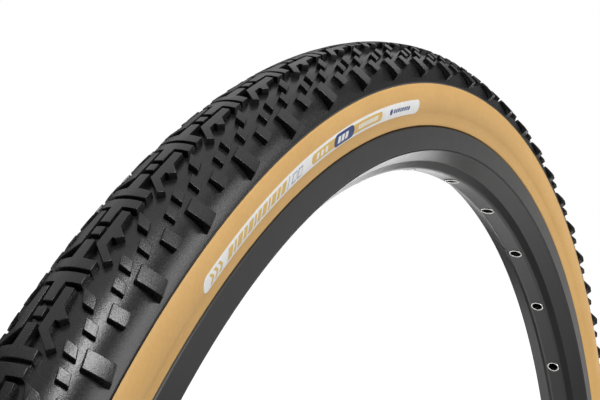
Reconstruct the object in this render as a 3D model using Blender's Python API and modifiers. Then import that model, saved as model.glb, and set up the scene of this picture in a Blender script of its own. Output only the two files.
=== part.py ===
"""A 40-622 gravel tire, seated and inflated on a bare double-wall rim with a tubeless valve.

The wheel's axle is the Y axis and its centre is the origin, so the wheel stands upright in the XZ plane.
The valve is at the bottom and its stem points up at the hub. Right is -Y and left is +Y.
"""

import math

import bpy

MM = 0.001

# Driving sizes of the rim
RIM_FACETS = 48
SPOKE_HOLES = 32
BEAD_SEAT_RADIUS = 311.0 * MM
LIP_RADIUS = 317.0 * MM
CHANNEL_RADIUS = 307.5 * MM
BED_RADIUS = 298.0 * MM
BED_WALL = 1.6 * MM
FOLD_RADIUS = 301.6 * MM
FOLD_HALF_WIDTH = 8.4 * MM
CREASE_RADIUS = 306.5 * MM
RIM_INNER_HALF_WIDTH = 13.5 * MM
RIM_OUTER_HALF_WIDTH = 16.7 * MM
BED_HALF_WIDTH = 5.4 * MM

# Driving sizes of the tire's cross-section, which is a circle of rubber around its own centre
SECTION_RADIUS = 332.0 * MM
KNOB_TOP = 23.0 * MM
TREAD_FLOOR = 20.5 * MM
CASING_SIDE = 19.2 * MM
CASING_CROWN = 18.2 * MM
CASING_THICKNESS = 1.0 * MM
SKIN_THICKNESS = 1.0 * MM
BELT_THICKNESS = 0.4 * MM
TREAD_EDGE = 78.0
SKIN_EDGE = 79.2
KNOB_EDGE = 67.0
BEAD_START = 130.0

# Labels on the sidewalls, as angles around the wheel and around the section
LABEL_START = 101.4
LABEL_ARC = 31.2
LABEL_UPPER = 99.8
LABEL_LOWER = 114.6
LABEL_THICKNESS = 0.25 * MM

# Valve, in radii of the wheel along its stem, and in radii around the stem
STEM_OUTER = 3.0 * MM
STEM_BORE = 2.2 * MM
STEM_TIP = 270.0 * MM
CORE_TOP = 266.0 * MM
CORE_BOTTOM = 281.0 * MM
CORE_NUT_BOTTOM = 262.7 * MM
CORE_NUT_HEIGHT = 3.0 * MM
PIN_TIP = 257.5 * MM
CAP_TOP = 254.7 * MM
CAP_MOUTH = 279.0 * MM
CAP_OUTER = 3.9 * MM
LOCK_NUT_RADIUS = 5.6 * MM
LOCK_NUT_HEIGHT = 4.2 * MM
VALVE_HOLE = 3.4 * MM

# Eyelets
EYELET_FLANGE = 3.9 * MM
EYELET_TUBE = 3.2 * MM
EYELET_BORE = 2.7 * MM
EYELET_HEIGHT = 0.8 * MM
EYELET_FACETS = 8

GAP = 0.3 * MM
FACET_HALF_TURN = math.pi / RIM_FACETS


def clear_scene():
    for old in list(bpy.data.objects):
        bpy.data.objects.remove(old)


def new_collection(name):
    collection = bpy.data.collections.new(name)
    bpy.context.scene.collection.children.link(collection)
    return collection


def new_material(name, colour, roughness, metallic=0.0):
    material = bpy.data.materials.new(name)
    material.use_nodes = True
    shader = material.node_tree.nodes["Principled BSDF"]
    shader.inputs["Base Color"].default_value = (*colour, 1.0)
    shader.inputs["Roughness"].default_value = roughness
    shader.inputs["Metallic"].default_value = metallic
    return material


def outline_object(name, points, collection, material=None, axis="Y", closed=True):
    """An outline of edges as the profile of a Screw modifier. Its points hold (distance from the axis, along it)."""
    mesh = bpy.data.meshes.new(name)
    count = len(points)
    edges = [(i, (i + 1) % count) for i in range(count if closed else count - 1)]
    corners = [(out, 0, along) if axis == "Z" else (out, along, 0) for out, along in points]
    mesh.from_pydata(corners, edges, [])
    made = bpy.data.objects.new(name, mesh)
    collection.objects.link(made)
    if material:
        mesh.materials.append(material)
    return made


def runs_inside_out(points):
    """True where the outline runs anticlockwise, so that its Screw has to flip the faces."""
    following = points[1:] + points[:1]
    return sum(x * v - u * y for (x, y), (u, v) in zip(points, following)) > 0


def add_screw(made, steps, axis="Y", turn=2 * math.pi, flip=False):
    screw = made.modifiers.new("Turn", "SCREW")
    screw.axis = axis
    screw.angle = turn
    screw.steps = steps
    screw.render_steps = steps
    screw.use_merge_vertices = True
    screw.merge_threshold = 0.00001
    screw.use_smooth_shade = True
    screw.use_normal_flip = flip


def wheel_ring(name, outline, collection, material=None):
    """A ring around the axle. The outline holds (radius, across) points, and a facet is centred on the bottom."""
    made = outline_object(name, outline, collection, material)
    add_screw(made, RIM_FACETS, flip=runs_inside_out(outline))
    made.rotation_euler = (0, FACET_HALF_TURN, 0)
    return made


def turned_piece(name, outline, collection, material, steps=16):
    """A piece turned about its own Z axis."""
    made = outline_object(name, outline, collection, material, axis="Z")
    add_screw(made, steps, axis="Z", flip=runs_inside_out(outline))
    return made


def stem_piece(name, outline, collection, material, steps=16):
    """A piece turned about the valve's stem. The outline holds (distance from the stem, wheel radius) points."""
    upright = [(out, -wheel_radius) for out, wheel_radius in outline]
    turned_piece(name, upright, collection, material, steps)


def both_sides(half):
    """The outline's right half follows its left half, which starts and ends beside the middle plane."""
    return half + [(radius, -across) for radius, across in reversed(half)]


def section(angle, depth):
    """The (radius, across) point at this distance from the section's centre, by degrees from the crown."""
    turn = math.radians(angle)
    return (SECTION_RADIUS + depth * math.cos(turn), depth * math.sin(turn))


def arc(angles, depth):
    return [section(angle, depth) for angle in angles]


def mirrored(outline, side):
    return [(radius, side * across) for radius, across in outline]


def on_facet(radius):
    """How far the middle of a facet lies from the axle, on a ring whose corners are at this radius."""
    return radius * math.cos(FACET_HALF_TURN)


def make_tread(collection):
    rubber = new_material("tread_rubber", (0.035, 0.035, 0.037), 0.75)
    crown = (-KNOB_EDGE, -48, -29, -11, 11, 29, 48, KNOB_EDGE)
    floor_edge = (KNOB_EDGE + 4, TREAD_EDGE)
    outer = arc([-angle for angle in reversed(floor_edge)], TREAD_FLOOR)
    outer += arc(crown, KNOB_TOP) + arc(floor_edge, TREAD_FLOOR)
    inside = CASING_CROWN + BELT_THICKNESS + 2 * GAP
    inner = [section(TREAD_EDGE, CASING_SIDE + GAP)]
    inner += arc((52, 26, 0, -26, -52), inside)
    inner += [section(-TREAD_EDGE, CASING_SIDE + GAP)]
    wheel_ring("tread", outer + inner, collection, rubber)


def make_belt(collection):
    aramid = new_material("belt_fabric", (0.62, 0.52, 0.22), 0.9)
    angles = (-52, -26, 0, 26, 52)
    inner = CASING_CROWN + GAP
    outline = arc(angles, inner + BELT_THICKNESS) + arc(reversed(angles), inner)
    wheel_ring("puncture_belt", outline, collection, aramid)


def bead_outline():
    """The casing from its outer face, around the bead core as a turned-up ply, to its inner face."""
    wall = 0.6 * MM
    heel = RIM_INNER_HALF_WIDTH - 1.1 * MM
    toe = heel - 3.8 * MM
    floor = BEAD_SEAT_RADIUS + 1.1 * MM
    turn_up = floor + 4.1 * MM
    core_side = toe + 0.8 * MM
    return [
        (floor + 3.3 * MM, core_side),
        (floor + wall, core_side),
        (floor + wall, heel - wall),
        (turn_up, heel - wall),
        (turn_up, heel),
        (floor, heel),
        (floor, toe),
        (floor + 3.5 * MM, toe),
    ]


def make_casing(collection):
    fabric = new_material("casing_fabric", (0.10, 0.085, 0.065), 0.85)
    half = arc((26, 52), CASING_CROWN)
    half += arc((TREAD_EDGE, 96, 115, BEAD_START), CASING_SIDE)
    half += bead_outline()
    half += arc((BEAD_START, 96), CASING_SIDE - CASING_THICKNESS)
    half += arc((64, 32), CASING_CROWN - CASING_THICKNESS)
    inner_crown = section(0, CASING_CROWN - CASING_THICKNESS)
    outer_crown = section(0, CASING_CROWN)
    outline = [outer_crown] + half + [inner_crown] + mirrored(reversed(half), -1)
    wheel_ring("casing", outline, collection, fabric)


def make_side_pieces(collection):
    tan = new_material("sidewall_rubber", (0.65, 0.40, 0.15), 0.6)
    aramid = new_material("bead_aramid", (0.75, 0.62, 0.25), 0.6)
    canvas = new_material("chafer_canvas", (0.03, 0.03, 0.03), 0.9)
    ink = new_material("label_ink", (0.9, 0.9, 0.88), 0.4)
    inner_skin = CASING_SIDE + GAP
    skin_angles = (SKIN_EDGE, 96, 115, BEAD_START)
    for name, side in (("right", -1), ("left", 1)):
        skin = arc(skin_angles, inner_skin + SKIN_THICKNESS) + arc(reversed(skin_angles), inner_skin)
        wheel_ring("sidewall_" + name, mirrored(skin, side), collection, tan)
        wheel_ring("bead_core_" + name, mirrored(core_outline(), side), collection, aramid)
        wheel_ring("chafer_" + name, mirrored(chafer_outline(), side), collection, canvas)
        make_label("sidewall_label_" + name, side, collection, ink)


def core_outline():
    """A six-sided cord in the trough of the turned-up casing."""
    middle = (BEAD_SEAT_RADIUS + 2.9 * MM, RIM_INNER_HALF_WIDTH - 2.9 * MM)
    turns = [math.radians(60 * corner) for corner in range(6)]
    cord = 0.9 * MM
    return [(middle[0] + cord * math.cos(turn), middle[1] + cord * math.sin(turn)) for turn in turns]


def chafer_outline():
    """A strip of canvas that wraps the bead's foot, between it and the rim."""
    strip = 0.5 * MM
    outer = RIM_INNER_HALF_WIDTH - GAP
    floor = BEAD_SEAT_RADIUS + GAP
    top = LIP_RADIUS + GAP
    toe = outer - 4.4 * MM
    return [
        (floor, toe),
        (floor, outer),
        (top, outer),
        (top, outer - strip),
        (floor + strip, outer - strip),
        (floor + strip, toe),
    ]


def make_label(name, side, collection, material):
    """A printed patch that lies on the flat of the sidewall between two of its corners."""
    surface = CASING_SIDE + 2 * GAP + SKIN_THICKNESS
    across = arc((LABEL_UPPER, LABEL_LOWER), surface + LABEL_THICKNESS / 2)
    made = outline_object(name, mirrored(across, side), collection, material, closed=False)
    add_screw(made, 4, turn=math.radians(LABEL_ARC))
    sheet = made.modifiers.new("Thickness", "SOLIDIFY")
    sheet.thickness = LABEL_THICKNESS
    sheet.offset = 0
    made.rotation_euler = (0, -math.radians(LABEL_START + LABEL_ARC), 0)


def rim_outline():
    """The extrusion's outer face from the spoke bed, up the side, over the lip and down into the channel."""
    return both_sides([
        (BED_RADIUS, BED_HALF_WIDTH),
        (FOLD_RADIUS, FOLD_HALF_WIDTH),
        (CREASE_RADIUS, RIM_OUTER_HALF_WIDTH),
        (LIP_RADIUS - 0.4 * MM, RIM_OUTER_HALF_WIDTH),
        (LIP_RADIUS, RIM_OUTER_HALF_WIDTH - 0.6 * MM),
        (LIP_RADIUS, RIM_INNER_HALF_WIDTH),
        (BEAD_SEAT_RADIUS, RIM_INNER_HALF_WIDTH),
        (BEAD_SEAT_RADIUS, 9.0 * MM),
        (CHANNEL_RADIUS, 7.6 * MM),
    ])


def cavity_outline():
    """The hollow between the channel and the spoke bed."""
    return both_sides([
        (BED_RADIUS + BED_WALL, BED_HALF_WIDTH - 0.8 * MM),
        (FOLD_RADIUS + 1.4 * MM, FOLD_HALF_WIDTH - 1.3 * MM),
        (307.2 * MM, 13.4 * MM),
        (308.6 * MM, 14.4 * MM),
        (CHANNEL_RADIUS - 1.3 * MM, 8.6 * MM),
    ])


def add_cylinder(name, radius, low, high, angle, facets, collection):
    """A cylinder along a spoke's direction between two radii of the wheel."""
    bpy.ops.mesh.primitive_cylinder_add(vertices=facets, radius=radius, depth=high - low)
    made = bpy.context.object
    made.name = name
    for holder in list(made.users_collection):
        holder.objects.unlink(made)
    collection.objects.link(made)
    place_on_spoke(made, (low + high) / 2, angle)
    return made


def place_on_spoke(made, radius, angle):
    """Puts the piece at this radius and angle, with its own Z pointing away from the axle."""
    made.location = (radius * math.cos(angle), 0, radius * math.sin(angle))
    made.rotation_euler = (0, math.pi / 2 - angle, 0)


def spoke_angle(number):
    """Spoke holes lie evenly on both sides of the valve, which is at the bottom."""
    step = 2 * math.pi / SPOKE_HOLES
    return -math.pi / 2 + step * (number + 0.5)


def make_rim(collection, cutters):
    alloy = new_material("rim_alloy", (0.06, 0.06, 0.062), 0.45, 0.4)
    rim = wheel_ring("rim", rim_outline(), collection, alloy)
    wheel_ring("rim_hollow_cutter", cavity_outline(), cutters)
    reach = 4 * MM
    for number in range(SPOKE_HOLES):
        add_cylinder(
            f"spoke_hole_cutter_{number + 1:02d}",
            EYELET_TUBE + GAP,
            BED_RADIUS - reach,
            BED_RADIUS + reach,
            spoke_angle(number),
            EYELET_FACETS,
            cutters,
        )
    low, high = BED_RADIUS - reach, BEAD_SEAT_RADIUS + reach
    add_cylinder("valve_hole_cutter", VALVE_HOLE, low, high, -math.pi / 2, 16, cutters)
    cut_with(rim, cutters)
    return rim


def make_tape(collection, cutters):
    film = new_material("tape_film", (0.75, 0.55, 0.1), 0.4)
    half_width, thickness = 7.0 * MM, 0.3 * MM
    inner = CHANNEL_RADIUS + GAP
    outline = both_sides([(inner, half_width), (inner + thickness, half_width)])
    tape = wheel_ring("rim_tape", outline, collection, film)
    reach = 4 * MM
    add_cylinder("tape_hole_cutter", VALVE_HOLE, inner - reach, inner + reach, -math.pi / 2, 16, cutters)
    cut_with(tape, cutters)
    return tape


def cut_with(made, cutters):
    cut = made.modifiers.new("Cut", "BOOLEAN")
    cut.operation = "DIFFERENCE"
    cut.solver = "EXACT"
    cut.operand_type = "COLLECTION"
    cut.collection = cutters


def make_eyelets(collection):
    """Each eyelet's flange lies on a facet of the spoke bed, and its tube goes through the wall."""
    steel = new_material("eyelet_steel", (0.85, 0.85, 0.83), 0.3, 1.0)
    step = 360 / SPOKE_HOLES
    facet = 360 / RIM_FACETS
    off_centre = math.radians(min(step / 2 % facet, facet - step / 2 % facet))
    bed = on_facet(BED_RADIUS) / math.cos(off_centre)
    flange_top = -GAP
    tube_top = BED_WALL + 0.4 * MM
    outline = [
        (EYELET_BORE, tube_top),
        (EYELET_TUBE, tube_top),
        (EYELET_TUBE, flange_top),
        (EYELET_FLANGE, flange_top - EYELET_HEIGHT / 2),
        (EYELET_BORE, flange_top - EYELET_HEIGHT),
    ]
    for number in range(SPOKE_HOLES):
        name = f"spoke_eyelet_{number + 1:02d}"
        made = turned_piece(name, outline, collection, steel, EYELET_FACETS)
        place_on_spoke(made, bed, spoke_angle(number))


def make_valve(collection):
    brass = new_material("valve_metal", (0.8, 0.79, 0.76), 0.3, 1.0)
    rubber = new_material("valve_rubber", (0.03, 0.03, 0.03), 0.7)
    black = new_material("valve_cap_plastic", (0.03, 0.03, 0.03), 0.4)
    floor = on_facet(CHANNEL_RADIUS + GAP) + 0.3 * MM
    bed = on_facet(BED_RADIUS)
    bore = STEM_OUTER + GAP

    base_low, base_high = floor + GAP, floor + 4.6 * MM
    base = [(bore, base_low), (6.2 * MM, base_low), (4.6 * MM, base_high), (bore, base_high)]
    stem_piece("valve_base", base, collection, rubber)

    head_low, head_high = base_high + GAP, base_high + 1.5 * MM
    stem = [
        (STEM_BORE, STEM_TIP),
        (STEM_OUTER, STEM_TIP),
        (STEM_OUTER, head_low),
        (4.4 * MM, head_low),
        (4.4 * MM, head_high),
        (STEM_BORE, head_high),
    ]
    stem_piece("valve_stem", stem, collection, brass)

    seal_high, seal_low = bed - GAP, bed - 2.1 * MM
    seal_middle = (seal_high + seal_low) / 2
    seal = [
        (bore, seal_middle),
        (4.3 * MM, seal_high),
        (5.3 * MM, seal_middle),
        (4.3 * MM, seal_low),
    ]
    stem_piece("valve_seal_ring", seal, collection, rubber)

    nut_high = seal_low - GAP
    nut_low = nut_high - LOCK_NUT_HEIGHT
    rounding = 0.7 * MM
    nut = [
        (bore, nut_high),
        (LOCK_NUT_RADIUS, nut_high),
        (LOCK_NUT_RADIUS, nut_low + rounding),
        (LOCK_NUT_RADIUS - rounding, nut_low),
        (bore, nut_low),
    ]
    stem_piece("valve_lock_nut", nut, collection, brass)

    core_bore, core_shank, collar = 1.05 * MM, STEM_BORE - GAP, 2.6 * MM
    core = [
        (core_bore, CORE_BOTTOM),
        (core_shank, CORE_BOTTOM),
        (core_shank, STEM_TIP - GAP),
        (collar, STEM_TIP - GAP),
        (collar, CORE_TOP),
        (core_bore, CORE_TOP),
    ]
    stem_piece("valve_core", core, collection, brass, 12)

    pin_shaft, plunger = core_bore - GAP, 1.6 * MM
    pin = [
        (0, PIN_TIP),
        (pin_shaft, PIN_TIP),
        (pin_shaft, CORE_BOTTOM + GAP),
        (plunger, CORE_BOTTOM + GAP),
        (plunger, CORE_BOTTOM + 1.8 * MM),
        (0, CORE_BOTTOM + 1.8 * MM),
    ]
    stem_piece("valve_pin", pin, collection, brass, 12)

    nut_top = CORE_NUT_BOTTOM - CORE_NUT_HEIGHT
    core_nut = [
        (core_bore, CORE_NUT_BOTTOM),
        (2.2 * MM, CORE_NUT_BOTTOM),
        (2.2 * MM, nut_top),
        (core_bore, nut_top),
    ]
    stem_piece("valve_core_nut", core_nut, collection, brass, 12)

    wall = CAP_OUTER - bore
    cap = [
        (bore, CAP_MOUTH),
        (CAP_OUTER, CAP_MOUTH),
        (CAP_OUTER, CAP_TOP + 1.0 * MM),
        (CAP_OUTER - 1.2 * MM, CAP_TOP),
        (0, CAP_TOP),
        (0, CAP_TOP + 2 * wall),
        (bore, CAP_TOP + 2 * wall),
    ]
    stem_piece("valve_cap", cap, collection, black)


def main():
    clear_scene()
    wheel = new_collection("gravel_tire_on_rim")
    rim_cutters = new_collection("rim_cutters")
    tape_cutters = new_collection("tape_cutters")
    make_tread(wheel)
    make_belt(wheel)
    make_casing(wheel)
    make_side_pieces(wheel)
    make_rim(wheel, rim_cutters)
    make_tape(wheel, tape_cutters)
    make_eyelets(wheel)
    make_valve(wheel)
    for cutters in (rim_cutters, tape_cutters):
        for cutter in cutters.objects:
            cutter.hide_render = True
            cutter.display_type = "WIRE"


main()
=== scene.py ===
"""Looks of a gravel tire on its bare rim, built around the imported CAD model.

Lengths are in millimetres until a mesh is made. The axle is the Y axis through the origin, and the right
side, which the camera sees, is -Y. A cross-section point is (radius from the axle, across). On the tread and
on the labels, shapes are drawn flat first and then bent onto the tire.
"""

import math

import bmesh
import bpy
import numpy as np
from mathutils import Matrix, Vector


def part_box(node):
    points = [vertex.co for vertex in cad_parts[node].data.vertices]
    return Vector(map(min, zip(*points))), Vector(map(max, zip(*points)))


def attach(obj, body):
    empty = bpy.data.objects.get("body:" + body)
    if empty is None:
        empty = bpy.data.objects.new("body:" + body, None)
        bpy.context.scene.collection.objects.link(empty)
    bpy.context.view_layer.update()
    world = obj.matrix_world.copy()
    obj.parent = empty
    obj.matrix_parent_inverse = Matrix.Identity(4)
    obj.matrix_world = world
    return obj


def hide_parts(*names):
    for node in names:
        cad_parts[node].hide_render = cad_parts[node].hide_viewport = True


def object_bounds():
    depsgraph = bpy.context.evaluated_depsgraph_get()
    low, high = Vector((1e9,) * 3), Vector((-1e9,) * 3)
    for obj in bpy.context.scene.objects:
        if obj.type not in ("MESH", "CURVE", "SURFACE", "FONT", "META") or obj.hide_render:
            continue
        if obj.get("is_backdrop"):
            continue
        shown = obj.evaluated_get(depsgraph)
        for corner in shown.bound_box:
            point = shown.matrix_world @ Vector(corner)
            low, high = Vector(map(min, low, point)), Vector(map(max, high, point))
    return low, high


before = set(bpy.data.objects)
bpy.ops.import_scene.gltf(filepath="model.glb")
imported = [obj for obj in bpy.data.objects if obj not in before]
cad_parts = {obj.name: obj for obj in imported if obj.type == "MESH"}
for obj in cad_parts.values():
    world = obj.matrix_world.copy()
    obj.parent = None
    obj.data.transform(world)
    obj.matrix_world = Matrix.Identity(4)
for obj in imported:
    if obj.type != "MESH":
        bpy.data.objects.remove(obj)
CAD_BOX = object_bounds()
MM = 0.001

# Cross-section of the tire: layers at these distances from the section's own centre
SECTION_RADIUS = 332.0
TREAD_FLOOR = 20.5
SIDE_FACE = 20.5
CASING_SIDE = 19.2
CASING_CROWN = 18.2
# Where the layers begin and end, in degrees from the crown
TREAD_EDGE = 79.2
SKIN_EDGE = 79.3
SKIN_END = 134.5
BEAD_START = 130.0
BELT_EDGE = 52
# Below this angle the tan skin leaves the round section and runs down to the rim's lip
FOOT_START = 118.0
SKIN_FOOT = [(320.0, 17.3), (317.9, 16.7), (317.5, 16.5), (317.4, 16.1), (317.4, 14.1)]
BEAD_CORE_MIDDLE = (313.9, 10.6)
BEAD_CORE_RADIUS = 0.85
RING_STEPS = 288

# Tread pattern, which repeats around the wheel
PITCHES = 72
PITCH_TURN = 2 * math.pi / PITCHES
RUNNING_RADIUS = 355.0
ACROSS_RADIUS = 22.0
BLOCK_HEIGHT = 2.6
# Share of a block's height that is kept, by distance across from the middle of the tread
HEIGHT_SHARES = (
    (0, 1.0), (8, 0.95), (11, 0.78), (15, 0.66), (18, 0.64), (22, 0.88), (26.4, 1.32), (30, 1.32)
)
TIE_HEIGHT = 1.1
BLOCK_FOOT = 0.5
DRAFT = 0.22
EDGE_ROUNDING = 0.2
SQUARE_MIDDLE = 15.8
SQUARE_TURN = math.radians(133.85)

# Rim
RIM_STEPS = 384
BED_RADIUS = 297.7
EYELET_HOLE = 3.5
VALVE_HOLE = 3.4
STEM_TIP = 270.0

# Labels
LABEL_LEFT_TURN = math.radians(132.6)
LABEL_LENGTH = 178.5
LABEL_HEIGHT = 6.2
LABEL_MIDDLE = 107.3
LABEL_LIFT = 0.08
PRINT_LIFT = 0.05

# Camera
CAMERA_PLACE = (-0.47185, -0.19217, 0.24671)
CAMERA_YAW = 29.354
CAMERA_PITCH = 3.949
CAMERA_ROLL = 2.275
CAMERA_LENS = 61.783


# ---------------------------------------------------------------- materials

class Finish:
    """A material with a Principled shader, and short calls to add nodes to it."""

    def __init__(self, name, colour, roughness, metallic=0.0, specular=0.5):
        self.material = bpy.data.materials.new(name)
        self.material.use_nodes = True
        self.tree = self.material.node_tree
        self.shader = self.tree.nodes["Principled BSDF"]
        self.set("Base Color", (*colour, 1.0))
        self.set("Roughness", roughness)
        self.set("Metallic", metallic)
        self.set("Specular IOR Level", specular)

    def set(self, socket, value):
        self.shader.inputs[socket].default_value = value

    def node(self, kind, **settings):
        made = self.tree.nodes.new("ShaderNode" + kind)
        for key, value in settings.items():
            setattr(made, key, value)
        return made

    def place(self, kind="Object"):
        return self.node("TexCoord").outputs[kind]

    def noise(self, size_mm, detail=3.0, rough=0.5, place=None):
        """Noise whose blobs are about this many millimetres across, from 0 to 1."""
        made = self.node("TexNoise")
        made.inputs["Scale"].default_value = 1000.0 / size_mm
        made.inputs["Detail"].default_value = detail
        made.inputs["Roughness"].default_value = rough
        self.tree.links.new(place or self.place(), made.inputs["Vector"])
        return made.outputs["Fac"]

    def stripes(self, period_mm, direction, place):
        """Stripes along one axis of the place, from 0 to 1."""
        made = self.node("TexWave", bands_direction=direction)
        made.inputs["Scale"].default_value = 1000.0 / period_mm / 20 * 2 * math.pi
        self.tree.links.new(place, made.inputs["Vector"])
        return made.outputs["Fac"]

    def math(self, operation, first, second):
        made = self.node("Math", operation=operation)
        for socket, value in zip(made.inputs, (first, second)):
            if isinstance(value, (int, float)):
                socket.default_value = value
            else:
                self.tree.links.new(value, socket)
        return made.outputs[0]

    def ramp(self, factor, *stops):
        """A colour for each position from 0 to 1."""
        made = self.node("ValToRGB")
        line = made.color_ramp.elements
        for element, (position, colour) in zip(line, stops[:2]):
            element.position, element.color = position, (*colour, 1.0)
        for position, colour in stops[2:]:
            line.new(position).color = (*colour, 1.0)
        self.tree.links.new(factor, made.inputs["Fac"])
        return made.outputs["Color"]

    def blend(self, factor, first, second):
        made = self.node("Mix", data_type="RGBA")
        for socket, value in ((made.inputs[0], factor), (made.inputs[6], first), (made.inputs[7], second)):
            if isinstance(value, (int, float)):
                socket.default_value = value
            elif isinstance(value, tuple):
                socket.default_value = (*value, 1.0)
            else:
                self.tree.links.new(value, socket)
        return made.outputs[2]

    def levels(self, factor, low, high):
        made = self.node("MapRange")
        made.inputs["To Min"].default_value = low
        made.inputs["To Max"].default_value = high
        self.tree.links.new(factor, made.inputs["Value"])
        return made.outputs["Result"]

    def colour(self, output):
        self.tree.links.new(output, self.shader.inputs["Base Color"])

    def roughness(self, factor, low, high):
        self.tree.links.new(self.levels(factor, low, high), self.shader.inputs["Roughness"])

    def bump(self, *layers):
        """Layers of (height, depth in millimetres), one on the other."""
        normal = None
        for height, depth in layers:
            made = self.node("Bump")
            made.inputs["Strength"].default_value = 1.0
            made.inputs["Distance"].default_value = depth * MM
            self.tree.links.new(height, made.inputs["Height"])
            if normal:
                self.tree.links.new(normal, made.inputs["Normal"])
            normal = made.outputs["Normal"]
        self.tree.links.new(normal, self.shader.inputs["Normal"])


def tread_rubber():
    made = Finish("tread_rubber_look", (0.03, 0.03, 0.031), 0.4, specular=0.5)
    worn = made.ramp(made.noise(60, 3), (0.3, (0.012, 0.012, 0.012)), (0.7, (0.017, 0.017, 0.017)))
    dusty = made.ramp(made.noise(0.9, 2), (0.35, (0.008, 0.008, 0.008)), (0.7, (0.026, 0.026, 0.026)))
    made.colour(made.blend(0.35, worn, dusty))
    made.roughness(made.noise(0.35, 1), 0.20, 0.34)
    made.bump((made.noise(0.3, 1), 0.035))
    return made.material


def sidewall_rubber():
    made = Finish("sidewall_rubber_look", (0.68, 0.42, 0.16), 0.5, specular=0.4)
    cloud = made.ramp(made.noise(35, 4), (0.3, (0.69, 0.406, 0.136)), (0.7, (0.77, 0.465, 0.164)))
    speck = made.ramp(made.noise(1.6, 3), (0.3, (0.62, 0.357, 0.112)), (0.72, (0.79, 0.48, 0.177)))
    made.colour(made.blend(0.22, cloud, speck))
    made.roughness(made.noise(2.5, 3), 0.42, 0.58)
    place = made.place("UV")
    threads = made.math("MULTIPLY", made.stripes(0.9, "X", place), made.stripes(0.9, "Y", place))
    made.bump((made.noise(9.0, 2), 0.05), (threads, 0.012), (made.noise(0.8, 2), 0.015))
    return made.material


def rim_alloy():
    made = Finish("rim_alloy_look", (0.05, 0.05, 0.05), 0.36, metallic=0.0, specular=0.5)
    made.colour(made.ramp(made.noise(40, 4), (0.3, (0.022, 0.022, 0.022)), (0.7, (0.027, 0.027, 0.027))))
    made.roughness(made.noise(3.0, 4), 0.30, 0.40)
    made.bump((made.noise(0.35, 3), 0.003))
    return made.material


def eyelet_steel():
    made = Finish("eyelet_steel_look", (0.86, 0.86, 0.84), 0.25, metallic=1.0)
    made.colour(made.ramp(made.noise(2.0, 3), (0.3, (0.80, 0.80, 0.78)), (0.7, (0.93, 0.93, 0.91))))
    made.roughness(made.noise(1.0, 3), 0.18, 0.34)
    made.bump((made.noise(0.3, 2), 0.004))
    return made.material


def valve_metal():
    made = Finish("valve_metal_look", (0.72, 0.70, 0.66), 0.28, metallic=1.0)
    made.colour(made.ramp(made.noise(4.0, 4), (0.3, (0.62, 0.60, 0.56)), (0.7, (0.80, 0.78, 0.74))))
    made.roughness(made.noise(1.2, 3), 0.2, 0.4)
    made.bump((made.noise(0.25, 2), 0.004))
    return made.material


def moulded_black(name, low, high, grain_mm):
    made = Finish(name, (0.03, 0.03, 0.031), low, specular=0.45)
    made.colour(made.ramp(made.noise(6.0, 3), (0.3, (0.022, 0.022, 0.023)), (0.7, (0.038, 0.038, 0.040))))
    made.roughness(made.noise(grain_mm * 2, 3), low, high)
    made.bump((made.noise(grain_mm, 2), 0.012))
    return made.material


def woven(name, dark, light, thread_mm):
    made = Finish(name, light, 0.85, specular=0.25)
    place = made.place("UV")
    warp = made.stripes(thread_mm, "X", place)
    weft = made.stripes(thread_mm, "Y", place)
    weave = made.math("MAXIMUM", warp, weft)
    cloth = made.ramp(weave, (0.2, dark), (0.9, light))
    made.colour(made.blend(0.3, cloth, made.ramp(made.noise(4, 3), (0.3, dark), (0.7, light))))
    made.roughness(weave, 0.75, 0.95)
    made.bump((weave, 0.06), (made.noise(0.4, 2), 0.02))
    return made.material


def tape_film():
    made = Finish("tape_film_look", (0.75, 0.55, 0.10), 0.35, specular=0.5)
    made.colour(made.ramp(made.noise(12, 3), (0.3, (0.70, 0.48, 0.07)), (0.7, (0.80, 0.60, 0.13))))
    made.roughness(made.noise(3, 3), 0.25, 0.45)
    made.bump((made.noise(2.0, 3), 0.02))
    return made.material


def ink(name, colour):
    made = Finish(name, colour, 0.4, specular=0.4)
    dim = tuple(0.93 * part for part in colour)
    made.colour(made.ramp(made.noise(3.0, 3), (0.3, dim), (0.7, colour)))
    made.roughness(made.noise(1.5, 3), 0.32, 0.5)
    made.bump((made.noise(0.8, 2), 0.008))
    return made.material


# ------------------------------------------------------------------- meshes

def section(angle, depth):
    """The (radius, across) point at this distance from the section's centre, by degrees from the crown."""
    turn = math.radians(angle)
    return (SECTION_RADIUS + depth * math.cos(turn), depth * math.sin(turn))


def arc(first, last, depth, spacing=2.5):
    """Points along the section from one angle to another, no further apart than the spacing in degrees."""
    count = max(1, math.ceil(abs(last - first) / spacing))
    return [section(first + (last - first) * step / count, depth) for step in range(count + 1)]


def mirrored(outline):
    return [(radius, -across) for radius, across in reversed(outline)]


def rounded(corners, steps=4):
    """A closed outline whose corners (radius, across, rounding) are replaced by small arcs."""
    outline = []
    for index, (x, y, rounding) in enumerate(corners):
        here = Vector((x, y))
        before = Vector(corners[index - 1][:2]) - here
        after = Vector(corners[(index + 1) % len(corners)][:2]) - here
        if rounding <= 0:
            outline.append((x, y))
            continue
        opening = before.angle(after)
        reach = rounding / math.tan(opening / 2)
        reach = min(reach, 0.48 * before.length, 0.48 * after.length)
        start, end = here + before.normalized() * reach, here + after.normalized() * reach
        for step in range(steps + 1):
            t = step / steps
            point = start * (1 - t) ** 2 + here * 2 * t * (1 - t) + end * t**2
            outline.append((point.x, point.y))
    return outline


def signed_volume(points, faces):
    triangles = points[faces]
    return np.einsum("ij,ij->i", triangles[:, 0], np.cross(triangles[:, 1], triangles[:, 2])).sum()


def facing_out(points, quads):
    """The quads, turned round if they enclose their volume from the wrong side."""
    halves = np.concatenate([quads[:, [0, 1, 2]], quads[:, [0, 2, 3]]])
    return quads if signed_volume(points, halves) > 0 else quads[:, ::-1]


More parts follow.
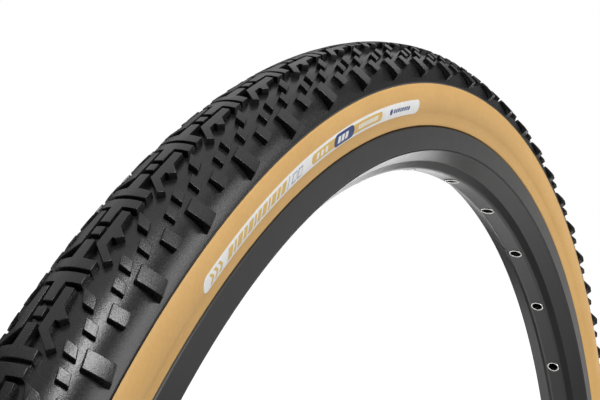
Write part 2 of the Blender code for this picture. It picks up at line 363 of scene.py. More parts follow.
def finish_piece(made, body, slot, materials, replaces=()):
    """The piece gets its materials, smooth shading that keeps flat faces flat, and its body. The slot is not
    used.
    """
    for material in materials:
        made.data.materials.append(material)
    made.data.shade_smooth()
    weighted = made.modifiers.new("Flat faces stay flat", "WEIGHTED_NORMAL")
    weighted.keep_sharp = True
    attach(made, body)
    if replaces:
        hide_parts(*replaces)
    return made


def new_piece(name, points, faces):
    mesh = bpy.data.meshes.new(name)
    mesh.from_pydata(np.asarray(points).tolist(), [], [list(face) for face in faces])
    made = bpy.data.objects.new(name, mesh)
    bpy.context.scene.collection.objects.link(made)
    return made


def wheel_ring(name, outline, steps=RING_STEPS):
    """A closed ring around the axle, with UVs in metres around it and along the outline."""
    outline = np.array(outline) * MM
    count = len(outline)
    turns = np.arange(steps) * 2 * math.pi / steps
    points = np.stack(
        [
            np.outer(np.cos(turns), outline[:, 0]),
            np.tile(outline[:, 1], (steps, 1)),
            np.outer(np.sin(turns), outline[:, 0]),
        ],
        -1,
    ).reshape(-1, 3)
    step, corner = np.meshgrid(np.arange(steps), np.arange(count), indexing="ij")
    next_step, next_corner = (step + 1) % steps, (corner + 1) % count
    quads = np.stack(
        [
            step * count + corner,
            step * count + next_corner,
            next_step * count + next_corner,
            next_step * count + corner,
        ],
        -1,
    ).reshape(-1, 4)
    quads = facing_out(points, quads)
    made = new_piece(name, points, quads)
    along = np.append(0, np.cumsum(np.hypot(*np.diff(np.vstack([outline, outline[:1]]), axis=0).T)))
    around = 2 * math.pi * outline[:, 0].mean()
    loop_points = np.array([loop.vertex_index for loop in made.data.loops]).reshape(-1, 4)
    steps_of, corners_of = loop_points // count, loop_points % count
    last_step = (steps_of == 0) & (steps_of.max(1) == steps - 1)[:, None]
    last_corner = (corners_of == 0) & (corners_of.max(1) == count - 1)[:, None]
    u = np.where(last_step, steps, steps_of) / steps * around
    v = along[np.where(last_corner, count, corners_of)]
    layer = made.data.uv_layers.new(name="ring")
    layer.data.foreach_set("uv", np.stack([u, v], -1).astype(np.float32).ravel())
    return made


def moved_outwards(outline, distance):
    """A polygon, drawn anticlockwise, with each corner moved so that its edges lie this much further out."""
    moved = []
    for index, corner in enumerate(outline):
        here = Vector(corner)
        before = (here - Vector(outline[index - 1])).normalized()
        after = (Vector(outline[(index + 1) % len(outline)]) - here).normalized()
        out = Vector((before.y + after.y, -before.x - after.x)).normalized()
        stretch = max(0.35, math.sqrt((1 + before.dot(after)) / 2))
        moved.append(tuple(here + out * distance / stretch))
    return moved


def anticlockwise(outline):
    area = sum(x * v - u * y for (x, y), (u, v) in zip(outline, outline[1:] + outline[:1]))
    return list(outline) if area > 0 else list(reversed(outline))


def flat_block(top, foot, high, low, rounding, slices, steps=2):
    """(points, triangles) of a block on the flat: its top outline at one height, its foot at another.

    It is sliced at each (axis, width), so that it bends smoothly.
    """
    shape = bmesh.new()
    upper = [shape.verts.new((x, y, high)) for x, y in top]
    lower = [shape.verts.new((x, y, low)) for x, y in foot]
    lid = shape.faces.new(upper)
    shape.faces.new(list(reversed(lower)))
    for index in range(len(top)):
        after = (index + 1) % len(top)
        shape.faces.new([upper[index], lower[index], lower[after], upper[after]])
    if rounding > 0:
        posts = [edge for vert in upper for edge in vert.link_edges if edge not in lid.edges]
        bmesh.ops.bevel(
            shape,
            geom=list(lid.edges) + posts,
            offset=rounding,
            segments=steps,
            profile=0.5,
            affect="EDGES",
            clamp_overlap=True,
        )
    for axis, width in slices:
        ends = [vert.co[axis] for vert in shape.verts]
        normal = [0, 0, 0]
        normal[axis] = 1
        for cut in np.arange(math.ceil(min(ends) / width), math.ceil(max(ends) / width)):
            place = [0, 0, 0]
            place[axis] = float(cut) * width
            whole = shape.verts[:] + shape.edges[:] + shape.faces[:]
            bmesh.ops.bisect_plane(shape, geom=whole, dist=1e-4, plane_co=place, plane_no=normal)
    bmesh.ops.triangulate(shape, faces=shape.faces)
    bmesh.ops.recalc_face_normals(shape, faces=shape.faces)
    shape.verts.index_update()
    points = np.array([vert.co for vert in shape.verts])
    faces = np.array([[vert.index for vert in face.verts] for face in shape.faces])
    shape.free()
    return points, faces


def on_tread(points, turn):
    """Flat tread points (along, across, height) bent onto the tire. Across is positive on the right side."""
    along, across, height = points.T
    height = height * np.where(height > 0, np.interp(np.abs(across), *zip(*HEIGHT_SHARES)), 1)
    around = turn - along / RUNNING_RADIUS
    lean = across / ACROSS_RADIUS
    depth = TREAD_FLOOR + height
    radius = SECTION_RADIUS + depth * np.cos(lean)
    return np.stack([radius * np.cos(around), -depth * np.sin(lean), radius * np.sin(around)], -1) * MM


def on_sidewall(points, side):
    """Flat label points (along, up, height) bent onto a sidewall, where up is towards the tread."""
    along, up, height = points.T
    lean = math.radians(LABEL_MIDDLE) - up / SIDE_FACE
    depth = SIDE_FACE + height
    middle = SECTION_RADIUS + SIDE_FACE * math.cos(math.radians(LABEL_MIDDLE))
    around = LABEL_LEFT_TURN - (along if side < 0 else LABEL_LENGTH - along) / middle
    radius = SECTION_RADIUS + depth * np.cos(lean)
    across = side * depth * np.sin(lean)
    return np.stack([radius * np.cos(around), across, radius * np.sin(around)], -1) * MM


def joined(parts):
    """One (points, faces) from several. Faces that enclose their volume from the wrong side are turned."""
    points, faces, count = [], [], 0
    for part_points, part_faces in parts:
        if signed_volume(part_points - part_points.mean(0), part_faces) < 0:
            part_faces = part_faces[:, ::-1]
        points.append(part_points)
        faces.append(part_faces + count)
        count += len(part_points)
    return np.concatenate(points), np.concatenate(faces)


# -------------------------------------------------------------------- tread

def pattern_blocks():
    """One pitch of the pattern, as (top outline, foot outline or None, height)."""
    tee = [(0.8, -6.4), (4.4, -6.4), (4.4, -1.65), (11.9, -1.65)]
    tee += [(11.9, 1.65), (4.4, 1.65), (4.4, 6.4), (0.8, 6.4)]
    pitch = RUNNING_RADIUS * PITCH_TURN
    far_tee = [(pitch - 0.8, -6.4), (pitch - 4.4, -6.4), (pitch - 4.4, -1.65), (19.5, -1.65)]
    far_tee += [(19.5, 1.65), (pitch - 4.4, 1.65), (pitch - 4.4, 6.4), (pitch - 0.8, 6.4)]
    square = [(14.1, -1.55), (17.5, -1.55), (17.5, 1.55), (14.1, 1.55)]
    blocks = [(tee, None, BLOCK_HEIGHT), (far_tee, None, BLOCK_HEIGHT), (square, None, BLOCK_HEIGHT)]
    for low, high in ((11.7, 14.3), (17.3, 19.7)):
        tie = [(low, -2.9), (high, -2.9), (high, 2.9), (low, 2.9)]
        blocks.append((tie, None, TIE_HEIGHT))
    blocks.append(([(-1.0, -6.0), (1.0, -6.0), (1.0, 6.0), (-1.0, 6.0)], None, TIE_HEIGHT))
    bar = [(10.3, 2.75), (4.5, 8.1), (6.4, 9.8), (10.5, 5.6), (14.2, 5.6)]
    bar += [(13.7, 6.9), (15.6, 8.6), (18.7, 5.6), (24.9, 5.5), (24.9, 2.75)]
    small = [
        [(21.5, 9.4), (20.8, 13.1), (24.6, 12.1), (26.0, 7.7)],
        [(6.4, 11.9), (5.8, 15.9), (9.4, 14.7), (10.1, 10.9)],
        [(14.5, 13.4), (13.9, 17.5), (17.5, 16.5), (18.2, 12.4)],
        [(-1.1, 13.7), (-1.6, 17.7), (1.9, 16.7), (2.5, 12.9)],
    ]
    medium = [(20.9, 17.4), (20.9, 22.7), (25.7, 21.8), (25.7, 16.4)]
    large = [(4.6, 18.1), (4.6, 26.4), (10.3, 25.2), (10.4, 17.0)]
    large_foot = [(4.3, 17.8), (4.5, 28.2), (10.4, 27.0), (10.7, 16.7)]
    for mirror in (1, -1):
        for outline in [bar, *small, medium]:
            blocks.append(([(along, mirror * across) for along, across in outline], None, BLOCK_HEIGHT))
        tops, feet = ([(along, mirror * across) for along, across in shape] for shape in (large, large_foot))
        blocks.append((tops, feet, BLOCK_HEIGHT))
    return blocks


def bent_pattern():
    """The blocks of one pitch on the flat, in two groups: the centre and the shoulders."""
    centre, shoulders = [], []
    for outline, foot, height in pattern_blocks():
        top = anticlockwise(outline)
        if foot:
            foot = list(foot) if top == list(outline) else list(reversed(foot))
        else:
            foot = moved_outwards(top, DRAFT)
        low = [
            tuple(Vector(edge) + (Vector(edge) - Vector(lid)) * BLOCK_FOOT / height)
            for lid, edge in zip(top, foot)
        ]
        block = flat_block(top, low, height, -BLOCK_FOOT, EDGE_ROUNDING, [(1, 2.0)])
        reach = max(abs(across) for _, across in outline)
        (centre if reach < 10 else shoulders).append(block)
    return {"centre": centre, "shoulder": shoulders}


def make_tread(rubber):
    floor = arc(-TREAD_EDGE, TREAD_EDGE, TREAD_FLOOR)
    inner = [section(TREAD_EDGE, CASING_SIDE + 0.3), section(60, CASING_SIDE + 0.1)]
    inner += arc(BELT_EDGE, -BELT_EDGE, CASING_CROWN + 1.0, 6)
    inner += [section(-60, CASING_SIDE + 0.1), section(-TREAD_EDGE, CASING_SIDE + 0.3)]
    base = wheel_ring("tread_base", floor + inner)
    finish_piece(base, "wheel", "tread_rubber", [rubber], ["tread"])
    turns = [SQUARE_TURN + SQUARE_MIDDLE / RUNNING_RADIUS + PITCH_TURN * number for number in range(PITCHES)]
    for name, blocks in bent_pattern().items():
        parts = [(on_tread(points, turn), faces) for turn in turns for points, faces in blocks]
        made = new_piece("tread_" + name + "_blocks", *joined(parts))
        finish_piece(made, "wheel", "tread_rubber", [rubber], ["tread"])


# ---------------------------------------------------------- casing and sides

def casing_outline():
    """From the crown down one side to the turned-up bead, and back inside, then the same mirrored."""
    heel, toe, floor, wall = 12.4, 8.6, 312.1, 0.6
    bead = [(floor + 3.3, toe + 0.8), (floor + wall, toe + 0.8), (floor + wall, heel - wall)]
    bead += [(floor + 4.1, heel - wall), (floor + 4.1, heel), (floor, heel)]
    bead += [(floor, toe), (floor + 3.5, toe)]
    outer = arc(0, 60, CASING_CROWN, 4) + arc(66, BEAD_START, CASING_SIDE, 4)
    inner = arc(BEAD_START, 66, CASING_SIDE - 1, 4) + arc(60, 0, CASING_CROWN - 1, 4)
    half = outer + bead + inner
    return half + mirrored(half)[1:-1]


def make_sides(looks):
    casing = wheel_ring("casing_plies", casing_outline())
    finish_piece(casing, "wheel", "casing_fabric", [looks["casing"]], ["casing"])
    belt = arc(-BELT_EDGE, BELT_EDGE, CASING_CROWN + 0.7, 4)
    belt += arc(BELT_EDGE, -BELT_EDGE, CASING_CROWN + 0.3, 4)
    finish_piece(wheel_ring("aramid_belt", belt), "wheel", "belt_fabric", [looks["belt"]], ["puncture_belt"])
    skin = arc(SKIN_EDGE, FOOT_START, SIDE_FACE) + SKIN_FOOT + arc(SKIN_END, SKIN_EDGE, SIDE_FACE - 0.9)
    radius, across = BEAD_CORE_MIDDLE
    core = [
        (radius + BEAD_CORE_RADIUS * math.cos(turn), across + BEAD_CORE_RADIUS * math.sin(turn))
        for turn in np.arange(0, 6.28, 0.524)
    ]
    strip = rounded(
        [
            (311.3, 8.8, 0),
            (311.3, 13.2, 0.5),
            (317.3, 13.2, 0.2),
            (317.3, 12.7, 0.2),
            (311.8, 12.7, 0.4),
            (311.8, 8.8, 0),
        ]
    )
    for name, side in (("right", -1), ("left", 1)):
        for kind, outline, slot, look, node in (
            ("tan_skin_", skin, "sidewall_rubber", "tan", "sidewall_"),
            ("bead_cord_", core, "bead_aramid", "aramid", "bead_core_"),
            ("canvas_strip_", strip, "chafer_canvas", "canvas", "chafer_"),
        ):
            shape = outline if side > 0 else mirrored(outline)
            made = wheel_ring(kind + name, shape)
            finish_piece(made, "wheel", slot, [looks[look]], [node + name])


# -------------------------------------------------------------------- labels

def pill(low, high, middle, height, steps=8):
    """A bar with round ends."""
    half = height / 2
    turns = [math.pi * step / steps for step in range(steps + 1)]
    right = [(high - half + half * math.sin(turn), middle - half * math.cos(turn)) for turn in turns]
    left = [(low + half - half * math.sin(turn), middle + half * math.cos(turn)) for turn in turns]
    return right + left


def slanted(low, high, bottom, top, lean=0.35):
    """A bar that leans forward."""
    return [
        (low + lean * bottom, bottom),
        (high + lean * bottom, bottom),
        (high + lean * top, top),
        (low + lean * top, top),
    ]


def label_prints():
    """The marks printed on the label, as (ink, outline, layer)."""
    marks = []
    start = 0.024 * LABEL_LENGTH
    for shift in (0.0, 2.9, 5.8):
        tip = start + shift
        chevron = [(tip, -2.1), (tip + 1.3, -2.1), (tip + 2.7, 0)]
        chevron += [(tip + 1.3, 2.1), (tip, 2.1), (tip + 1.4, 0)]
        marks.append(("gold", chevron, 1))
    place = 0.092 * LABEL_LENGTH
    for width in (3.1, 1.3, 3.1, 2.2, 3.1, 1.3, 2.2, 3.1, 1.3, 3.1, 2.2, 3.1):
        marks.append(("gold", slanted(place, place + width, -2.0, 2.0), 1))
        place += width + 1.1
    marks.append(("grey", slanted(0.333 * LABEL_LENGTH, 0.333 * LABEL_LENGTH + 0.45, -2.3, 2.3), 1))
    for left in (0.350, 0.374):
        low = left * LABEL_LENGTH
        marks.append(("grey", slanted(low, low + 3.3, -1.8, 1.8), 1))
        marks.append(("white", slanted(low + 0.5, low + 2.8, -1.3, 1.3), 2))
    marks.append(("gold", pill(0.436 * LABEL_LENGTH, 0.784 * LABEL_LENGTH, 0, 4.0), 1))
    marks.append(("navy", pill(0.539 * LABEL_LENGTH, 0.636 * LABEL_LENGTH, 0, 5.0), 2))
    for low, high, width, gap, tall, layer in (
        (0.457, 0.525, 1.9, 1.7, 2.2, 2),
        (0.556, 0.618, 2.3, 0.9, 2.6, 3),
        (0.658, 0.768, 1.1, 0.6, 1.8, 2),
    ):
        place = low * LABEL_LENGTH
        while place + width < high * LABEL_LENGTH:
            marks.append(("white", slanted(place, place + width, -tall / 2, tall / 2, 0.15), layer))
            place += width + gap
    marks.append(("navy", pill(0.827 * LABEL_LENGTH, 0.827 * LABEL_LENGTH + 2.6, 0, 2.6), 1))
    place = 0.849 * LABEL_LENGTH
    for width in (1.5, 1.2, 1.5, 1.2, 1.5, 1.5, 1.2, 1.5):
        marks.append(("navy", slanted(place, place + width, -0.8, 0.8, 0.2), 1))
        place += width + 0.75
    return marks


def make_labels(looks):
    """A white printed patch on each sidewall with generic marks in place of words."""
    patch = anticlockwise(pill(0, LABEL_LENGTH, 0, LABEL_HEIGHT))
    inks = ["white", "gold", "navy", "grey"]
    for name, side in (("right", -1), ("left", 1)):
        parts, colours = [], []
        for colour, outline, layer in [("white", patch, 0), *label_prints()]:
            outline = anticlockwise(outline)
            high = LABEL_LIFT + PRINT_LIFT * layer
            points, faces = flat_block(outline, outline, high, -0.3, 0, [(0, 4.0), (1, 1.0)])
            parts.append((on_sidewall(points, side), faces))
            colours += [inks.index(colour)] * len(faces)
        made = new_piece("printed_label_" + name, *joined(parts))
        materials = [looks[colour] for colour in inks]
        finish_piece(made, "wheel", "label_ink", materials, ["sidewall_label_" + name])
        made.data.polygons.foreach_set("material_index", colours)
        made.data.shade_flat()


# ----------------------------------------------------------------------- rim

def rim_outline():
    """The extrusion's outer face from the spoke bed, up the side, over the lip and into the channel."""
    half = [
        (BED_RADIUS, 4.8, 3.0),
        (301.6, 8.4, 2.5),
        (306.1, 16.2, 0.15),
        (306.6, 16.0, 0.1),
        (306.9, 16.7, 0.2),
        (316.6, 16.8, 0.4),
        (317.0, 16.1, 0.4),
        (317.0, 13.5, 0.4),
        (311.0, 13.5, 0.5),
        (310.8, 9.4, 0.5),
        (307.5, 7.4, 1.0),
    ]
    return rounded(half + [(radius, -across, rounding) for radius, across, rounding in reversed(half)])


def cavity_outline():
    half = [(299.6, 4.4, 1.5), (303.0, 7.1, 1.0), (307.2, 13.4, 1.0), (308.9, 14.6, 0.6), (309.2, 10.6, 0.6)]
    half += [(306.1, 8.4, 1.0)]
    return rounded(half + [(radius, -across, rounding) for radius, across, rounding in reversed(half)], 3)


def cutter(name, radius, low, high, angle, steps=32):
    """A closed cylinder along a spoke's direction between two radii of the wheel."""
    turns = np.arange(steps) * 2 * math.pi / steps
    x, y = radius * np.cos(turns), radius * np.sin(turns)
    points = np.concatenate([np.stack([x, y, turns * 0 + z], -1) for z in (low, high)]) * MM
    sides = [[i, (i + 1) % steps, steps + (i + 1) % steps, steps + i] for i in range(steps)]
    made = new_piece(name, points, [*sides, list(reversed(range(steps))), list(range(steps, 2 * steps))])
    made.data.transform(along_spoke(angle))
    return made


def along_spoke(angle):
    """Turns a piece drawn along Z so that its Z points away from the axle at this angle."""
    return Matrix.Rotation(math.pi / 2 - angle, 4, "Y")


def eyelet_nodes():
    """Each eyelet's CAD node with its angle around the wheel."""
    names = sorted(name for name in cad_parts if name.startswith("spoke_eyelet_"))
    found = []
    for name in names:
        low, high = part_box(name)
        middle = (low + high) / 2
        found.append((name, math.atan2(middle.z, middle.x)))
    return found


def make_rim(looks):
    rim = wheel_ring("rim_extrusion", rim_outline(), RIM_STEPS)
    hollow = wheel_ring("rim_hollow", cavity_outline(), RIM_STEPS // 2)
    tools = [hollow]
    for name, angle in eyelet_nodes():
        tools.append(cutter("hole_" + name, EYELET_HOLE, BED_RADIUS - 6, BED_RADIUS + 5, angle))
    tools.append(cutter("hole_valve", VALVE_HOLE, BED_RADIUS - 6, 320.0, -math.pi / 2))
    helpers = bpy.data.collections.new("rim_tools")
    for tool in tools:
        bpy.context.scene.collection.objects.unlink(tool)
        helpers.objects.link(tool)
    cut = rim.modifiers.new("Cut", "BOOLEAN")
    cut.operation, cut.solver = "DIFFERENCE", "EXACT"
    cut.operand_type, cut.collection = "COLLECTION", helpers
    apply_modifiers(rim)
    for tool in tools:
        bpy.data.objects.remove(tool)
    finish_piece(rim, "wheel", "rim_alloy", [looks["alloy"]], ["rim"])
    tape = rounded([(307.8, 6.9, 0.1), (308.1, 6.9, 0.1), (308.1, -6.9, 0.1), (307.8, -6.9, 0.1)], 2)
    finish_piece(wheel_ring("tubeless_tape", tape), "wheel", "tape_film", [looks["tape"]], ["rim_tape"])


def apply_modifiers(made):
    graph = bpy.context.evaluated_depsgraph_get()
    mesh = bpy.data.meshes.new_from_object(made.evaluated_get(graph))
    made.modifiers.clear()
    made.data = mesh


def turned_mesh(outline, steps, relief=None):
    """(points, quads) turned about Z from (distance, height) points.

    relief(angle, distance, height) is added to each distance.
    """
    outline = np.array(outline, float)
    turns = np.arange(steps) * 2 * math.pi / steps
    angle, distance = np.meshgrid(turns, outline[:, 0], indexing="ij")
    height = np.tile(outline[:, 1], (steps, 1))
    if relief:
        distance = distance + relief(angle, distance, height)
    points = np.stack([distance * np.cos(angle), distance * np.sin(angle), height], -1).reshape(-1, 3) * MM
    count = len(outline)
    step, corner = np.meshgrid(np.arange(steps), np.arange(count), indexing="ij")
    after, beside = (step + 1) % steps, (corner + 1) % count
    quads = np.stack(
        [step * count + corner, after * count + corner, after * count + beside, step * count + beside], -1
    ).reshape(-1, 4)
    return points, facing_out(points, quads)


def make_eyelets(steel):
    """A rolled bright ring in each spoke hole. They share one mesh."""
    outline = rounded(
        [
            (3.35, 2.0, 0),
            (3.35, -0.05, 0.15),
            (3.9, -0.05, 0.1),
            (3.9, -0.3, 0.2),
            (3.6, -0.55, 0.25),
            (3.15, -0.4, 0.25),
            (3.1, 2.0, 0),
        ],
        3,
    )
    points, quads = turned_mesh(outline, 40)
    pattern = new_piece("eyelet_pattern", points, quads)
    pattern.data.shade_smooth()
    pattern.data.materials.append(steel)
    for name, angle in eyelet_nodes():
        made = bpy.data.objects.new(name.replace("spoke_eyelet", "eyelet_ring"), pattern.data)
        bpy.context.scene.collection.objects.link(made)
        place = Vector((math.cos(angle), 0, math.sin(angle))) * BED_RADIUS * MM
        made.matrix_world = Matrix.Translation(place) @ along_spoke(angle)
        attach(made, "wheel")
        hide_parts(name)
    bpy.data.objects.remove(pattern)


# --------------------------------------------------------------------- valve

def sampled(outline, spacing):
    """The closed outline with points added so that none are further apart than the spacing."""
    filled = []
    for (x, y), (u, v) in zip(outline, outline[1:] + outline[:1]):
        count = max(1, math.ceil(math.hypot(u - x, v - y) / spacing))
        filled += [(x + (u - x) * step / count, y + (v - y) * step / count) for step in range(count)]
    return filled


def thread(pitch, depth, beyond, low=-1e9, high=1e9):
    """A screw thread cut into what lies beyond this distance from the axis, between two heights."""

    def relief(angle, distance, height):
        wave = np.abs(((height / pitch - angle / (2 * math.pi)) % 1) * 2 - 1)
        inside = (distance > beyond) & (height > low) & (height < high)
        return np.where(inside, -depth * wave, 0)

    return relief


def knurl(count, depth, beyond, low=-1e9, high=1e9):
    """Ridges along the axis on what lies beyond this distance."""

    def relief(angle, distance, height):
        inside = (distance > beyond) & (height > low) & (height < high)
        return np.where(inside, depth * (np.abs(np.cos(angle * count / 2)) - 1), 0)

    return relief


def valve_part(name, node, body, slot, look, outline, steps=48, relief=None):
    """A piece turned about the stem, which lies on the Z axis. Its heights are in the frame, in mm."""
    made = new_piece(name, *turned_mesh(outline, steps, relief))
    return finish_piece(made, body, slot, [look], [node])


def levels_of(node):
    """The lowest and highest Z of a CAD node in millimetres."""
    low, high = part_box(node)
    return low.z / MM, high.z / MM


def make_valve(looks):
    metal, rubber, black = looks["metal"], looks["gasket"], looks["cap"]

    low, high = levels_of("valve_base")
    base = rounded(
        [(3.3, low, 0), (4.6, low, 0.6), (6.2, high - 0.6, 0.4), (6.2, high, 0.3), (3.3, high, 0)]
    )
    valve_part("rubber_base", "valve_base", "wheel", "valve_rubber", rubber, base)

    low, high = levels_of("valve_stem")
    head = low + 1.5
    stem = [(2.2, low), (4.3, low), (4.3, head), (3.0, head), (3.0, high - 0.3), (2.7, high), (2.2, high)]
    cut = thread(0.8, 0.32, 2.9, head + 1.2, high - 0.5)
    valve_part("threaded_stem", "valve_stem", "wheel", "valve_metal", metal, sampled(stem, 0.13), 36, cut)

    low, high = levels_of("valve_seal_ring")
    seal = rounded([(3.3, low + 0.3, 0.3), (4.6, low, 0.7), (5.3, (low + high) / 2, 0.8), (4.6, high, 0.7),
                    (3.3, high - 0.3, 0.3)])
    valve_part("seal_ring", "valve_seal_ring", "wheel", "valve_rubber", rubber, seal)

    low, high = levels_of("valve_lock_nut")
    nut = rounded(
        [(3.3, low, 0.1), (5.6, low, 0.4), (5.6, high - 0.3, 0.3), (5.0, high, 0.3), (3.3, high, 0.1)]
    )
    ridges = knurl(30, 0.35, 5.2, low + 0.5, high - 0.6)
    nut = sampled(nut, 0.4)
    valve_part("knurled_lock_nut", "valve_lock_nut", "lock_nut", "valve_metal", metal, nut, 180, ridges)

    low, high = levels_of("valve_core")
    shoulder = -STEM_TIP + 0.3
    core = [(1.05, low), (1.9, low), (1.9, shoulder), (2.6, shoulder), (2.6, high - 0.4)]
    core += [(2.2, high), (1.05, high)]
    valve_part("core_body", "valve_core", "wheel", "valve_metal", metal, sampled(core, 0.3), 40)

    low, high = levels_of("valve_pin")
    plunger = low + 1.5
    pin = [(0.01, low), (1.6, low), (1.6, plunger), (0.75, plunger)]
    pin += [(0.75, high - 0.3), (0.45, high), (0.01, high)]
    cut = thread(0.5, 0.12, 0.6, plunger + 16, high - 0.2)
    valve_part("threaded_pin", "valve_pin", "pin", "valve_metal", metal, sampled(pin, 0.12), 24, cut)

    low, high = levels_of("valve_core_nut")
    nut = rounded([(1.05, low, 0.05), (2.2, low, 0.25), (2.2, high, 0.25), (1.05, high, 0.05)])
    ridges = knurl(18, 0.2, 1.9, low + 0.3, high - 0.3)
    nut = sampled(nut, 0.3)
    valve_part("knurled_core_nut", "valve_core_nut", "core_nut", "valve_metal", metal, nut, 108, ridges)

    low, high = levels_of("valve_cap")
    cap = rounded(
        [(3.3, low, 0.1), (3.9, low, 0.1), (3.9, low + 2.0, 0), (3.9, high - 1.0, 0.4), (2.7, high, 0.6)]
        + [(0.01, high, 0), (0.01, high - 1.2, 0), (3.3, high - 1.2, 0.4)]
    )
    ridges = knurl(20, 0.3, 3.7, low + 2.0, high - 1.3)
    cap = sampled(cap, 0.5)
    valve_part("ribbed_cap", "valve_cap", "dust_cap", "valve_cap_plastic", black, cap, 120, ridges)


# --------------------------------------------------------------------- stage

def aimed(made, place, target):
    made.location = place
    made.rotation_euler = (Vector(target) - Vector(place)).to_track_quat("-Z", "Y").to_euler()


def softbox(name, place, target, size, power):
    light = bpy.data.lights.new(name, "AREA")
    light.shape = "RECTANGLE"
    light.size, light.size_y = size
    light.energy = power
    made = bpy.data.objects.new(name, light)
    made.visible_camera = False
    bpy.context.scene.collection.objects.link(made)
    aimed(made, place, target)
    return made


def make_floor():
    mesh = bpy.data.meshes.new("floor")
    shape = bmesh.new()
    bmesh.ops.create_circle(shape, cap_ends=True, segments=96, radius=45.0)
    shape.to_mesh(mesh)
    shape.free()
    floor = bpy.data.objects.new("floor", mesh)
    bpy.context.scene.collection.objects.link(floor)
    floor.location = (0, 0, -RUNNING_RADIUS * MM - 0.0015)
    paint = Finish("floor_paint", (0.88, 0.88, 0.88), 0.9, specular=0.1)
    tint = paint.ramp(paint.noise(400, 2), (0.3, (0.87, 0.87, 0.87)), (0.7, (0.90, 0.90, 0.90)))
    paint.colour(tint)
    paint.set("Emission Color", (1, 1, 1, 1))
    from_camera = paint.levels(paint.node("LightPath").outputs["Is Camera Ray"], 0.25, 1.0)
    paint.tree.links.new(from_camera, paint.shader.inputs["Emission Strength"])
    mesh.materials.append(paint.material)
    floor.visible_diffuse = False
    floor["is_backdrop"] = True


def make_world():
    """White all round for the camera, and dimmer as a light."""
    world = bpy.data.worlds.new("studio")
    bpy.context.scene.world = world
    world.use_nodes = True
    tree = world.node_tree
    background = tree.nodes["Background"]
    background.inputs["Color"].default_value = (1, 1, 1, 1)
    path = tree.nodes.new("ShaderNodeLightPath")
    strength = None
    for output, value in (("Is Glossy Ray", 0.12), ("Is Camera Ray", 1.0)):
        mix = tree.nodes.new("ShaderNodeMix")
        mix.inputs[3].default_value = value
        if strength:
            tree.links.new(strength, mix.inputs[2])
        else:
            mix.inputs[2].default_value = 0.12
        tree.links.new(path.outputs[output], mix.inputs[0])
        strength = mix.outputs[0]
    tree.links.new(strength, background.inputs["Strength"])


def make_flags():
    """Black cards on the floor that only reflections see, so that edges facing them stay dark."""
    paint = Finish("card_paint", (0.002, 0.002, 0.002), 1.0, specular=0.0).material
    for name, middle, size in (("near", (0.2, -1.07), (5.0, 1.5)), ("far", (2.3, 1.5), (3.0, 2.0))):
        mesh = bpy.data.meshes.new("black_card_" + name)
        shape = bmesh.new()
        bmesh.ops.create_grid(shape, x_segments=1, y_segments=1, size=0.5)
        shape.to_mesh(mesh)
        shape.free()
        mesh.materials.append(paint)
        card = bpy.data.objects.new("black_card_" + name, mesh)
        bpy.context.scene.collection.objects.link(card)
        card.scale = (*size, 1.0)
        card.location = (*middle, -RUNNING_RADIUS * MM - 0.001)
        card.visible_camera = card.visible_diffuse = card.visible_shadow = False
        card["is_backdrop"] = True


def make_lights():
    middle = (-0.12, 0, 0.22)
    softbox("overhead", (0.15, 0.30, 1.9), middle, (3.2, 3.2), 20)
    softbox("side", (0.35, -1.9, 0.5), middle, (1.5, 1.2), 17)
    softbox("shoulder", (-0.586, -0.686, 1.164), (-0.26, -0.01, 0.23), (0.30, 0.26), 6.6)
    softbox("edge", (0.51, -1.14, 0.95), (-0.21, -0.02, 0.26), (0.5, 0.4), 2.0)
    softbox("far_end", (1.6, 0.35, 0.02), (0, 0, 0.3), (0.9, 0.4), 3.2)
    softbox("right_end", (1.9, -0.7, 0.25), (0.1, 0, 0.25), (1.0, 0.8), 1.2)
    inside = softbox("inside", (-0.2, -0.5, -0.12), (0.26, 0, 0.15), (0.4, 0.4), 0.26)
    inside.data.spread = math.radians(70)
    back = softbox("back", (0.3, 1.9, 0.6), (0, 0, 0), (1.3, 1.0), 18)
    back.visible_glossy = False


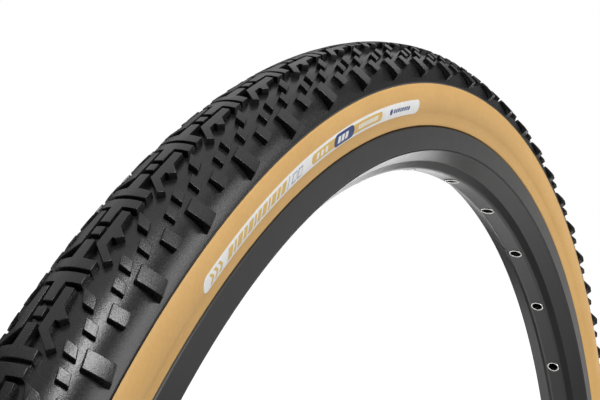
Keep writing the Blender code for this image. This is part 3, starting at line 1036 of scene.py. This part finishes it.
def make_camera():
    camera = bpy.data.objects.new("camera", bpy.data.cameras.new("camera"))
    bpy.context.scene.collection.objects.link(camera)
    yaw, pitch, roll = (math.radians(angle) for angle in (CAMERA_YAW, CAMERA_PITCH, CAMERA_ROLL))
    ahead = Vector((math.cos(pitch) * math.cos(yaw), math.cos(pitch) * math.sin(yaw), math.sin(pitch)))
    right = ahead.cross(Vector((0, 0, 1))).normalized()
    up = right.cross(ahead)
    right, up = (
        math.cos(roll) * right + math.sin(roll) * up,
        math.cos(roll) * up - math.sin(roll) * right,
    )
    turn = Matrix((right, up, -ahead)).transposed().to_4x4()
    camera.matrix_world = Matrix.Translation(CAMERA_PLACE) @ turn
    camera.data.lens = CAMERA_LENS
    camera.data.sensor_width = 36.0
    camera.data.clip_start, camera.data.clip_end = 0.01, 200.0
    bpy.context.scene.camera = camera


def main():
    scene = bpy.context.scene
    scene.view_settings.view_transform = "Standard"
    rubber = tread_rubber()
    looks = {
        "tan": sidewall_rubber(),
        "alloy": rim_alloy(),
        "metal": valve_metal(),
        "gasket": moulded_black("gasket_look", 0.55, 0.75, 0.4),
        "cap": moulded_black("cap_look", 0.3, 0.45, 0.25),
        "casing": woven("casing_look", (0.05, 0.042, 0.033), (0.14, 0.12, 0.09), 0.8),
        "belt": woven("belt_look", (0.40, 0.32, 0.12), (0.72, 0.60, 0.28), 1.0),
        "aramid": woven("aramid_look", (0.50, 0.40, 0.14), (0.82, 0.68, 0.30), 0.5),
        "canvas": woven("canvas_look", (0.015, 0.015, 0.015), (0.05, 0.05, 0.05), 0.5),
        "tape": tape_film(),
        "white": ink("white_ink", (0.97, 0.97, 0.96)),
        "gold": ink("gold_ink", (0.80, 0.53, 0.14)),
        "navy": ink("navy_ink", (0.012, 0.04, 0.19)),
        "grey": ink("grey_ink", (0.36, 0.39, 0.48)),
    }
    make_tread(rubber)
    make_sides(looks)
    make_labels(looks)
    make_rim(looks)
    make_eyelets(eyelet_steel())
    make_valve(looks)
    make_floor()
    make_flags()
    make_world()
    make_lights()
    make_camera()
    sizes = {"cad": CAD_BOX, "visual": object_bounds()}
    {name: [list(corner) for corner in box] for name, box in sizes.items()}


main()
